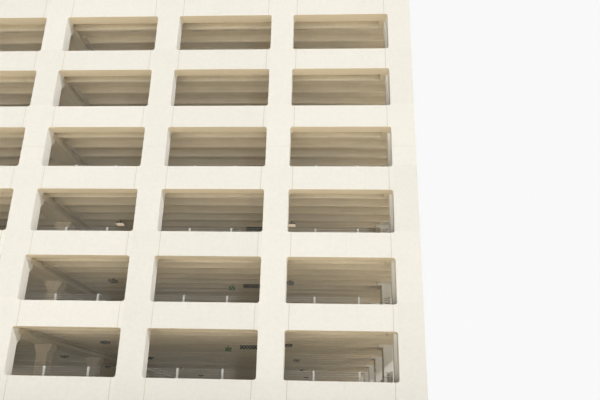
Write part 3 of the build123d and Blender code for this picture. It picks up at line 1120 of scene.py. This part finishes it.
def mix_palette(grid: Grid) -> dict[str, Material]:
    """Make every material of the building.

    Args:
        grid: Setting-out of the building.

    Returns:
        The materials by name.
    """
    lit_deck = 3
    lit = grid.soffit(lit_deck)
    finishes = (
        PrecastFinish("precast", srgb(240, 238, 231)),
        PrecastFinish("base_precast", srgb(234, 231, 223), splash=0.45),
        CastFinish("deck_concrete", srgb(238, 224, 196)),
        ToppingFinish("topping_concrete", srgb(232, 226, 213)),
        CastFinish("girder_concrete", srgb(232, 218, 190), form=(3.0, 0.25, 3.0), damp=0.0),
        MetalFinish("guard_metal", srgb(240, 240, 236), 0.5, wear=0.1),
        MetalFinish("screen_wire", srgb(232, 228, 216), 0.5, wear=0.1),
        MetalFinish("zinc_fittings", srgb(176, 176, 174), 0.45, 0.7, wear=0.3),
        MetalFinish("light_housing", srgb(58, 54, 50), 0.5, wear=0.05),
        MetalFinish("sign_metal", srgb(40, 40, 42), 0.55, wear=0.05),
        MetalFinish("cast_iron", srgb(74, 66, 60), 0.65, 0.6, wear=0.5, worn=Stain.RUST),
        SoftFinish("pipe_plastic", srgb(196, 184, 158), 0.5),
        SoftFinish("joint_sealant", srgb(196, 184, 154), 0.75, scale=2.0),
        SoftFinish("lift_sealant", srgb(234, 231, 222), 0.75, scale=2.0),
        LensFinish("light_lens", srgb(120, 116, 108), 0.35, low=lit - 1.0,
                   high=lit + grid.deck),
        LensFinish("exit_face", srgb(74, 112, 62), 0.4, glow=srgb(110, 170, 90),
                   power=Glow.EXIT, high=grid.top),
    )
    effects = Effects(grid)
    return {finish.name: finish.build(effects) for finish in finishes}


@dataclass
class SubAssembly:
    """A kind of work on the building."""

    grid: Grid  # Setting-out of the building
    setter: Setter  # What sets copies out
    palette: dict[str, Material]  # The materials by name
    made: list[Piece] = field(default_factory=list)  # The pieces made so far

    def build(self) -> None:
        """Make the pieces."""
        raise NotImplementedError

    def keep(self, piece: Piece, slot: str) -> None:
        """Fix a piece to the building and keep it with the pieces made.

        Args:
            piece: The piece.
            slot: Its material slot; not used.
        """
        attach(piece, "root")
        self.made.append(piece)
        LOG.info("piece %s: %d faces", piece.name, len(piece.data.polygons))

    def put(self, name: str, shape: Shape, spots: list[Spot], finish: str, slot: str,
            jitter: float = 0.0) -> None:
        """Set copies of a shape out as one piece, and keep it.

        Args:
            name: Name of the piece.
            shape: What is copied.
            spots: Where the copies go.
            finish: Name of their material.
            slot: Its material slot, handed on to keep.
            jitter: Largest random turn of a copy.
        """
        self.keep(self.setter.scatter(name, shape, spots, self.palette[finish], jitter), slot)


@dataclass
class Carcass(SubAssembly):
    """Finishes of the part's own nodes."""

    nodes: dict[str, Piece] = field(default_factory=dict)  # The part's nodes by name
    # Material of the nodes whose name holds a word; the others are precast
    finishes: tuple[tuple[str, str], ...] = (
        ("_base_walls", "base_precast"),
        ("_guard_rails", "guard_metal"),
        ("_double_tees", "deck_concrete"),
        ("_topping", "topping_concrete"),
        ("central_", "girder_concrete"),
        ("ceiling_lights", "light_housing"),
        ("blank_signs", "sign_metal"),
        ("exit_lights", "sign_metal"),
        ("drain_pipes", "pipe_plastic"),
    )

    def build(self) -> None:
        """Give every node its material."""
        for name, node in sorted(self.nodes.items()):
            finish = next((kind for word, kind in self.finishes if word in name), "precast")
            node.data.materials.clear()
            node.data.materials.append(self.palette[finish])
            self.made.append(node)
            LOG.info("node %s: %s", name, finish)


@dataclass
class JointSealant(SubAssembly):
    """Sealant beads beside the spandrels and round the piers."""

    width: float = 0.016  # Width of the upright joints
    depth: float = 0.02  # Depth of their rebates
    lift: float = 0.014  # Height of the joints round the piers
    lift_depth: float = 0.012  # Depth of those joints
    lift_storey: int = 3  # Storey with the joint round the piers
    edge: float = 0.003  # Depth of the edges of the upright beads
    dish: float = 0.007  # Depth of their middle

    def bead(self) -> Shape:
        """Upright bead with a hollowed face, one metre high.

        Returns:
            The bead, behind the face at y = 0.
        """
        x, edge, dish, back = self.width / 2, self.edge, self.dish, self.depth
        outline = [(-x, edge), (-x / 2, dish - 0.001), (0.0, dish), (x / 2, dish - 0.001),
                   (x, edge), (x, back), (-x, back)]
        return Shape().prism(outline, 0.0, 1.0)

    def ring(self, outline: list) -> Shape:
        """Bead round a pier.

        Args:
            outline: Plan of the bottom of its groove.

        Returns:
            The bead, its middle at z = 0.
        """
        z = self.lift / 2
        out = self.lift_depth - 0.002
        section = [(0.0, -z), (out, -z), (out - 0.003, -z / 2), (out - 0.004, 0.0),
                   (out - 0.003, z / 2), (out, z), (0.0, z)]
        return Shape().sweep(outline, section)

    def corner(self, hand: int) -> list:
        """Plan of the groove of a corner pier.

        Args:
            hand: Whether its other face is at -x, as -1, or at +x.

        Returns:
            The outline of the groove's bottom.
        """
        grid, cut = self.grid, self.lift_depth
        half, front = grid.pier / 2 - cut, grid.front_pier + cut
        inner = grid.side_pier - grid.pier / 2 - cut
        plan = [(-half, cut), (half, cut), (half, front), (inner, front),
                (inner, grid.pier - cut), (-half, grid.pier - cut)]
        return plan if hand < 0 else [(-x, y) for x, y in reversed(plan)]

    def build(self) -> None:
        """Make the beads."""
        grid = self.grid
        reach = grid.pier / 2 + grid.ear + self.width / 2
        height = grid.soffit(self.lift_storey) + (grid.storey + grid.spandrel) / 2
        for side in Side:
            depth = grid.pier_depth(side)
            plan = rectangle(grid.pier - 2 * self.lift_depth, depth - 2 * self.lift_depth)
            rings = [grid.spot(side, line, depth / 2, height) for line in grid.lines[1:-1]]
            self.put(f"{side.key}_pier_sealant", self.ring(plan), rings, "lift_sealant",
                     "precast")
        beads = [grid.spot(side, along, 0.0, grid.soffit(deck), rise=grid.spandrel)
                 for side in Side for start in grid.lines[:-1]
                 for along in (start + reach, start + grid.bay - reach)
                 for deck in range(grid.storeys + 1)]
        self.put("spandrel_sealant", self.bead(), beads, "joint_sealant", "precast")
        for name, hand in (("left", -1), ("right", 1)):
            rings = [grid.spot(side, hand * grid.lines[-1], 0.0, height)
                     for side in (Side.FRONT, Side.BACK)]
            self.put(f"{name}_corner_sealant", self.ring(self.corner(hand)), rings,
                     "lift_sealant", "precast")


@dataclass
class GuardFittings(SubAssembly):
    """Plates, anchors, sleeves and tensioners of the cable guards."""

    height: float = 1.17  # Height of the posts
    cables: int = 5  # Number of cables
    cable_drop: float = 0.06  # Depth of the top cable below the top of the posts
    cable_pitch: float = 0.095  # Distance between cables
    posts_per_bay: int = 3  # Number of posts in a bay
    shift: float = -0.17  # How far the posts stand off an even division of the face
    plate_width: float = 0.2  # Width of a base plate
    plate_thick: float = 0.012  # Its thickness
    anchors: float = 0.15  # Distance between its anchors

    def posts(self, side: Side) -> list[float]:
        """Places of the posts along a face.

        Args:
            side: The face.

        Returns:
            Their distances from its middle.
        """
        count = self.grid.bays * self.posts_per_bay
        pitch = self.grid.bay / self.posts_per_bay
        places = [(i - count / 2) * pitch + self.shift for i in range(1, count)]
        corner = self.grid.guard_end(side)
        return places if side.flank else [-corner, *places, corner]

    def plate(self) -> Shape:
        """Base plate with its anchors and weld, and the collar under the post's top.

        Returns:
            The shape, its underside at z = 0.
        """
        top, width = self.plate_thick, self.plate_width
        shape = Shape().prism(rectangle(width, width, 0.02), 0.0, top)
        washer, nut, bolt = ([(0.018, 0.0), (0.018, 0.003)],
                             [(0.013, 0.003), (0.013, 0.014), (0.011, 0.016)],
                             [(0.006, 0.014), (0.006, 0.03), (0.004, 0.032)])
        for x, y in rectangle(self.anchors, self.anchors):
            for profile, sides in ((washer, 10), (nut, 6), (bolt, 8)):
                shape.lathe(profile, sides, at(x, y, top))
        post = rectangle(self.grid.post, self.grid.post)
        shape.sweep(post, [(0.0, top), (0.01, top), (0.0, top + 0.01)])
        band = [(0.0, 0.0), (0.004, 0.002), (0.004, 0.026), (0.0, 0.028)]
        return shape.sweep(post, band, at(z=self.height - 0.03))

    def on_cables(self, profile: list, sides: int) -> Shape:
        """Turned solids along +x on all cables of a post.

        Args:
            profile: Radius and place along the cable of their rings.
            sides: Number of their sides.

        Returns:
            The shape.
        """
        shape = Shape()
        for i in range(self.cables):
            z = self.height - self.cable_drop - i * self.cable_pitch
            shape.lathe(profile, sides, at(z=z) @ TO_X)
        return shape

    def build(self) -> None:
        """Make the fittings of every face."""
        grid = self.grid
        reach = grid.post / 2 + 0.007
        sleeve = self.on_cables([(0.011, -reach), (0.014, -reach + 0.003),
                                 (0.014, reach - 0.003), (0.011, reach)], 8)
        tensioner = self.on_cables([
            (0.012, 0.0), (0.017, 0.004), (0.017, 0.03), (0.0125, 0.036), (0.0125, 0.05),
            (0.016, 0.056), (0.018, 0.075), (0.018, 0.15), (0.016, 0.17), (0.011, 0.19)], 12)
        floors = [grid.floor(deck) for deck in range(grid.storeys + 1)]
        for side in Side:
            depth, end = grid.guard(side), grid.guard_end(side) - grid.post / 2
            feet = [grid.spot(side, x, depth, z) for z in floors for x in self.posts(side)]
            ends = [grid.spot(side, along, depth, z, turn) for z in floors
                    for along, turn in ((-end, 0.0), (end, math.pi))]
            for name, shape, spots in (("plates", self.plate(), feet),
                                       ("sleeves", sleeve, feet),
                                       ("tensioners", tensioner, ends)):
                self.put(f"{side.key}_guard_{name}", shape, spots, "zinc_fittings",
                         "guard_metal")


@dataclass
class Screens(SubAssembly):
    """Wire screens behind the front and back openings, from each deck to the stems above."""

    pitch: float = 0.142  # Distance between wires along the screen
    wire: float = 0.0045  # Radius of a wire
    gap: float = 0.05  # Space under and over a screen

    def build(self) -> None:
        """Make the screens of the front and the back."""
        grid, setter = self.grid, self.setter
        ahead = grid.post / 2 + 2 * self.wire
        for side in (Side.FRONT, Side.BACK):
            depth = grid.guard(side) - ahead
            reach = grid.guard_end(side) + ahead
            spots = [grid.spot(side, -reach, depth, grid.floor(deck) + self.gap)
                     for deck in range(grid.storeys)]
            self.keep(setter.harden(f"{side.key}_screens", spots, setter.screen, {
                "Length": 2 * reach, "Height": grid.storey - grid.deck - 2 * self.gap,
                "Pitch": self.pitch, "Wire": self.wire,
                "Finish": self.palette["screen_wire"]}), "guard_metal")


@dataclass
class Lamps(SubAssembly):
    """Covers and trims of the ceiling lights, faces of the exit lights, rims of the signs."""

    light_rows: int = 4  # Number of rows of ceiling lights
    # Distances of the ceiling lights from the middle of the plan
    light_places: tuple[float, ...] = (2.8, 12.25, -2.8, -12.25)
    half_light: float = 0.2  # Half the width of a ceiling light
    half_lens: float = 0.165  # Half the width of its underside
    drop: float = 0.47  # Depth of its underside below the flanges
    lens_height: float = 0.05  # Height of its cover
    ribs: int = 7  # Number of ribs under a cover
    stem_depth: float = 0.36  # Depth of the stems below the flanges
    # Distance of the signs from the middle of the plan, and their depth
    sign_place: tuple[float, float] = (10.3, 0.1)
    exit_place: tuple[float, float] = (9.1, 0.225)  # The same for the exit lights

    def lens(self) -> Shape:
        """Ribbed cover with slanted sides.

        Returns:
            The cover, its underside at z = 0.
        """
        half, skin = self.half_lens, 0.004
        wide, top = self.half_light - half, self.lens_height - 0.002
        side = [(0.003, -skin), (wide + 0.003, top), (wide, top), (-0.003, -0.001)]
        plan = rectangle(2 * half, 2 * half)
        shape = Shape().sweep(plan, side).prism(plan, -skin, 0.0)
        for i in range(self.ribs):
            y = (i - (self.ribs - 1) / 2) * 2 * half / self.ribs
            along = Matrix(((0, 0, 1, 0), (1, 0, 0, y), (0, 1, 0, 0), (0, 0, 0, 1)))
            shape.prism([(-0.01, -skin), (0.0, -0.009), (0.01, -skin)], -half + 0.01,
                        half - 0.01, along)
        return shape

    def trim(self) -> Shape:
        """Rim, side screws and ceiling plate screws of a light.

        Returns:
            The shape, the light's underside at z = 0.
        """
        band = [(0.0, 0.0), (0.006, 0.0), (0.006, 0.014), (0.0, 0.018)]
        shape = Shape().sweep(rectangle(2 * self.half_light, 2 * self.half_light), band,
                              at(z=self.lens_height - 0.004))
        for quarter in range(4):
            turn = Matrix.Rotation(quarter * math.pi / 2, 4, "Z")
            for x in (-0.12, 0.12):
                side = at(x, -self.half_light, self.lens_height + 0.035) @ TO_FRONT
                shape.lathe([(0.009, -0.001), (0.009, 0.002), (0.006, 0.005)], 8, turn @ side)
            plate = at(0.075, 0.075, self.drop - 0.025)
            shape.lathe([(0.006, -0.005), (0.009, -0.003), (0.009, 0.0)], 8, turn @ plate)
        return shape

    @staticmethod
    def exit_face() -> Shape:
        """Two blank faces of an exit light.

        Returns:
            The faces, their middle at z = 0.
        """
        shape, half = Shape(), 0.0262
        for y in (-half, half):
            shape.prism(rectangle(0.28, 0.15, 0.012), -0.0015, 0.0015, at(y=y) @ TO_FRONT)
        return shape

    @staticmethod
    def rims(width: float, height: float, depth: float) -> Shape:
        """Rims along the edges of both faces of an upright board.

        Args:
            width: Width of the board.
            height: Its height.
            depth: Its thickness.

        Returns:
            The rims, their middle at z = 0.
        """
        shape = Shape()
        section = [(-0.014, 0.0), (0.003, 0.0), (0.003, 0.006), (-0.01, 0.006)]
        for turn in (0.0, math.pi):
            move = Matrix.Rotation(turn, 4, "Z") @ at(y=0.002 - depth / 2) @ TO_FRONT
            shape.sweep(rectangle(width, height), section, move)
        return shape

    def build(self) -> None:
        """Make the covers, trims, faces and rims."""
        grid = self.grid
        first = grid.lines[0]
        unders = [grid.soffit(deck) for deck in range(1, grid.storeys + 1)]
        lights = [Spot((x, first + (4 + 7 * row) * grid.stem, z + self.stem_depth - self.drop))
                  for z in unders for row in range(self.light_rows) for x in self.light_places]
        signs, exits = ([Spot((way * x, first + 4.5 * grid.stem, z - down))
                         for z in unders for way in (-1, 1)]
                        for x, down in (self.sign_place, self.exit_place))
        self.put("light_covers", self.lens(), lights, "light_lens", "light_housing")
        self.put("light_trims", self.trim(), lights, "light_housing", "light_housing")
        self.put("exit_faces", self.exit_face(), exits, "exit_face", "sign_metal")
        self.put("exit_rims", self.rims(0.32, 0.19, 0.05), exits, "sign_metal", "sign_metal")
        self.put("sign_rims", self.rims(1.2, 0.2, 0.06), signs, "sign_metal", "sign_metal")


@dataclass
class Drainage(SubAssembly):
    """Collars, clamps and end plugs of the drain pipes, and the floor drains above them."""

    pipe: float = 0.85  # Distance of the pipes from the middle of the plan
    drop: float = 0.105  # Depth of their middle below the stems
    setback: float = 1.5  # Distance of their ends behind the faces
    radius: float = 0.065  # Their radius
    joint_pitch: float = 3.0  # Distance between collars
    clamp_stems: int = 5  # Number of stems from clamp to clamp
    bars: int = 7  # Number of bars in a floor drain
    bar_pitch: float = 0.032  # Distance between them

    def turned(self, *profile: tuple[float, float]) -> Shape:
        """A turned solid about the line of a pipe, from its added radius and places."""
        return Shape().lathe([(self.radius + r, z) for r, z in profile], 20, TO_BACK)

    def drain(self) -> Shape:
        """Round floor drain with a barred grate.

        Returns:
            The drain, its underside at z = 0.
        """
        rim = [(0.15, 0.0), (0.15, 0.005), (0.146, 0.008), (0.126, 0.008), (0.122, 0.002)]
        shape, inside = Shape().lathe(rim, 28), 0.123
        for i in range(self.bars):
            y = (i - (self.bars - 1) / 2) * self.bar_pitch
            half = math.sqrt(inside ** 2 - y ** 2)
            shape.prism(rectangle(2 * half, 0.014), 0.0015, 0.007, at(y=y))
        return shape

    def build(self) -> None:
        """Make the collars, clamps, plugs and drains."""
        grid, x = self.grid, self.pipe
        end = grid.half - self.setback
        joints = int(2 * end / self.joint_pitch)
        collars = [(i - (joints - 1) / 2) * self.joint_pitch for i in range(joints)]
        stems = range(1, grid.bays * grid.stems_per_bay, self.clamp_stems)
        clamps = [grid.lines[0] + (stem + 0.5) * grid.stem for stem in stems]
        heights = [grid.soffit(deck) - self.drop for deck in range(1, grid.storeys + 1)]
        collar_spots = [Spot((x, y, z)) for z in heights for y in collars]
        clamp_spots = [Spot((x, y, z)) for z in heights for y in clamps if abs(y) < end]
        plug_spots = [Spot((x, y, z), turn) for z in heights
                      for y, turn in ((end, 0.0), (-end, math.pi))]
        drain_spots = [Spot((x, line + grid.stem / 2, grid.floor(deck)))
                       for deck in range(grid.storeys + 1) for line in grid.lines[1:-1]]
        collar = self.turned((0.0, -0.06), (0.01, -0.055), (0.01, -0.045), (0.006, -0.04),
                             (0.006, 0.04), (0.01, 0.045), (0.01, 0.055), (0.0, 0.06))
        plug = self.turned((0.0, -0.06), (0.006, -0.055), (0.006, 0.0), (-0.01, 0.004),
                           (-0.035, 0.004), (-0.035, 0.02), (-0.04, 0.024))
        clamp = self.turned((0.0, -0.02), (0.004, -0.019), (0.004, 0.019), (0.0, 0.02))
        self.put("pipe_collars", collar, collar_spots, "pipe_plastic", "pipe")
        self.put("pipe_plugs", plug, plug_spots, "pipe_plastic", "pipe")
        self.put("pipe_clamps", clamp, clamp_spots, "zinc_fittings", "guard_metal")
        self.put("floor_drains", self.drain(), drain_spots, "cast_iron", "guard_metal",
                 jitter=math.pi)


@dataclass
class ColumnFeet(SubAssembly):
    """Grout fillets round the feet of the central columns."""

    width: float = 0.55  # Width of a column
    depth: float = 0.65  # Its depth
    count: int = 5  # Number of columns
    setback: float = 4.7  # Distance of the first column behind the front
    fillet: float = 0.018  # Size of the fillet

    def build(self) -> None:
        """Make the fillets."""
        grid, size = self.grid, self.fillet
        section = [(0.0, 0.0), (size, 0.0), (size, size / 4), (size / 2, size / 2), (0.0, size)]
        first = self.setback - grid.half
        step = -2 * first / (self.count - 1)
        heights = [0.0] + [grid.floor(deck) for deck in range(grid.storeys)]
        spots = [Spot((0.0, first + i * step, z)) for z in heights for i in range(self.count)]
        shape = Shape().sweep(rectangle(self.width, self.depth), section)
        self.put("column_grout", shape, spots, "joint_sealant", "girder_concrete")


@dataclass(frozen=True)
class Studio:
    """Floor, light, background and camera."""

    grid: Grid  # Setting-out of the building
    focal: float = 607.7  # Focal length, in pixels of the photograph
    pitch: float = 19.8926  # How far the camera looks up, in degrees
    yaw: float = 3.0415  # How far it looks to the left
    roll: float = 1.2844  # How far it leans
    aside: float = 3.989  # Distance of the camera left of the building's right end
    away: float = 26.08  # Its distance from the front
    height: float = 1.282  # Its height
    sun_from: Rgb = (0.69, -0.64, 0.576)  # Where the slanted sun stands
    reach: float = 400.0  # Half the width of the floor

    def camera(self) -> None:
        """Place the camera where the photograph was taken."""
        pitch, yaw, roll = (math.radians(a) for a in (self.pitch, self.yaw, self.roll))
        right = Vector((math.cos(yaw), math.sin(yaw), 0))
        ahead = Vector((-math.sin(yaw) * math.cos(pitch), math.cos(yaw) * math.cos(pitch),
                        math.sin(pitch)))
        upward = right.cross(ahead)
        across = math.cos(roll) * right + math.sin(roll) * upward
        upright = math.cos(roll) * upward - math.sin(roll) * right
        data = bpy.data.cameras.new("camera")
        data.sensor_width = 36.0
        data.lens = self.focal / PHOTO_WIDTH * data.sensor_width
        data.clip_end = 2000.0
        data.dof.use_dof = False
        camera = new_object("camera", data)
        camera.matrix_world = Matrix((across, upright, -ahead)).transposed().to_4x4()
        camera.location = (self.grid.half - self.aside, -self.grid.half - self.away,
                           self.height)
        bpy.context.scene.camera = camera

    @staticmethod
    def lamp(name: str, kind: str, energy: float, colour: Rgb) -> Piece:
        """Add a lamp.

        Args:
            name: Its name.
            kind: Its type.
            energy: Its strength.
            colour: Its colour.

        Returns:
            Its object.
        """
        data = bpy.data.lights.new(name, kind)
        data.energy, data.color = energy, colour
        return new_object(name, data)

    def suns(self) -> None:
        """Add the slanted sun, and a broad one overhead for the roof and the floor."""
        slanted = self.lamp("sun", "SUN", 1.72, (1.0, 1.0, 1.0))
        slanted.data.angle = math.radians(3.0)
        slanted.rotation_mode = "QUATERNION"
        slanted.rotation_quaternion = Vector(self.sun_from).to_track_quat("Z", "Y")
        overhead = self.lamp("zenith", "SUN", 1.5, (1.0, 0.98, 0.94))
        overhead.data.angle = math.radians(40.0)

    def glows(self) -> None:
        """Let stretches of ground shine upwards, as sunlit paving does; 1 looks white."""
        half = self.grid.half
        for name, centre, size, strength in (
                ("near_glow", (0.0, -half - 28.0), (110.0, 50.0), 0.63),
                ("far_glow", (0.0, -half - 153.0), (400.0, 200.0), 1.15),
                ("right_glow", (half + 63.0, 30.0), (120.0, 96.0), 0.72),
                ("back_glow", (0.0, half + 103.0), (110.0, 200.0), 0.72),
                ("left_glow", (-half - 63.0, 30.0), (120.0, 96.0), 0.72)):
            glow = self.lamp(name, "AREA", strength * math.pi * size[0] * size[1],
                             (1.0, 0.95, 0.87))
            glow.data.shape = "RECTANGLE"
            glow.data.size, glow.data.size_y = size
            glow.location = (*centre, 0.05)
            glow.rotation_euler = (math.pi, 0.0, 0.0)
            glow.visible_camera = False

    @staticmethod
    def surround() -> None:
        """Add a pale surround, white where the camera sees it."""
        world = bpy.data.worlds.new("surround")
        world.use_nodes = True
        world.node_tree.nodes.clear()
        graph = Graph(world.node_tree)
        pale, white = (graph.get("ShaderNodeBackground", {"Color": full(colour),
                                                          "Strength": strength})
                       for colour, strength in (((0.92, 0.96, 1.0), 0.05),
                                                ((1.0, 1.0, 1.0), 0.95)))
        seen = graph.get("ShaderNodeLightPath", out="Is Camera Ray")
        both = graph.get("ShaderNodeMixShader", {0: seen, 1: pale, 2: white})
        graph.add("ShaderNodeOutputWorld", {"Surface": both})
        bpy.context.scene.world = world

    def floor(self) -> None:
        """Add a plain pale floor."""
        mesh = bpy.data.meshes.new("floor")
        corners = rectangle(2 * self.reach, 2 * self.reach)
        mesh.from_pydata([(*corner, 0.0) for corner in corners], [], [(0, 1, 2, 3)])
        material = bpy.data.materials.new("floor")
        material.use_nodes = True
        surface = material.node_tree.nodes["Principled BSDF"]
        surface.inputs["Base Color"].default_value = (0.82, 0.80, 0.76, 1.0)
        surface.inputs["Roughness"].default_value = 0.95
        mesh.materials.append(material)
        new_object("floor", mesh)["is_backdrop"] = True

    def build(self) -> None:
        """Set the scene."""
        self.floor()
        self.suns()
        self.glows()
        self.surround()
        self.camera()
        bpy.context.scene.view_settings.view_transform = "Standard"


def corners() -> list[list[float]]:
    """Lowest and highest corner of what is shown, as plain lists."""
    return [list(corner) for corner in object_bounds()]


def main() -> None:
    """Build the scene: carcass finishes first, then the fine parts, then the studio."""
    logging.basicConfig(level=logging.INFO, format="%(name)s: %(message)s")
    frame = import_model()
    grid = Grid.read()
    shared = (grid, Setter(), mix_palette(grid))
    works: list[SubAssembly] = [
        Carcass(*shared, nodes=frame["nodes"]),
        *(kind(*shared) for kind in (JointSealant, GuardFittings, Screens, Lamps, Drainage,
                                     ColumnFeet)),
    ]
    for work in works:
        work.build()
        LOG.info("%s: %d pieces", type(work).__name__, len(work.made))
    Studio(grid).build()


if __name__ == "__main__":
    main()
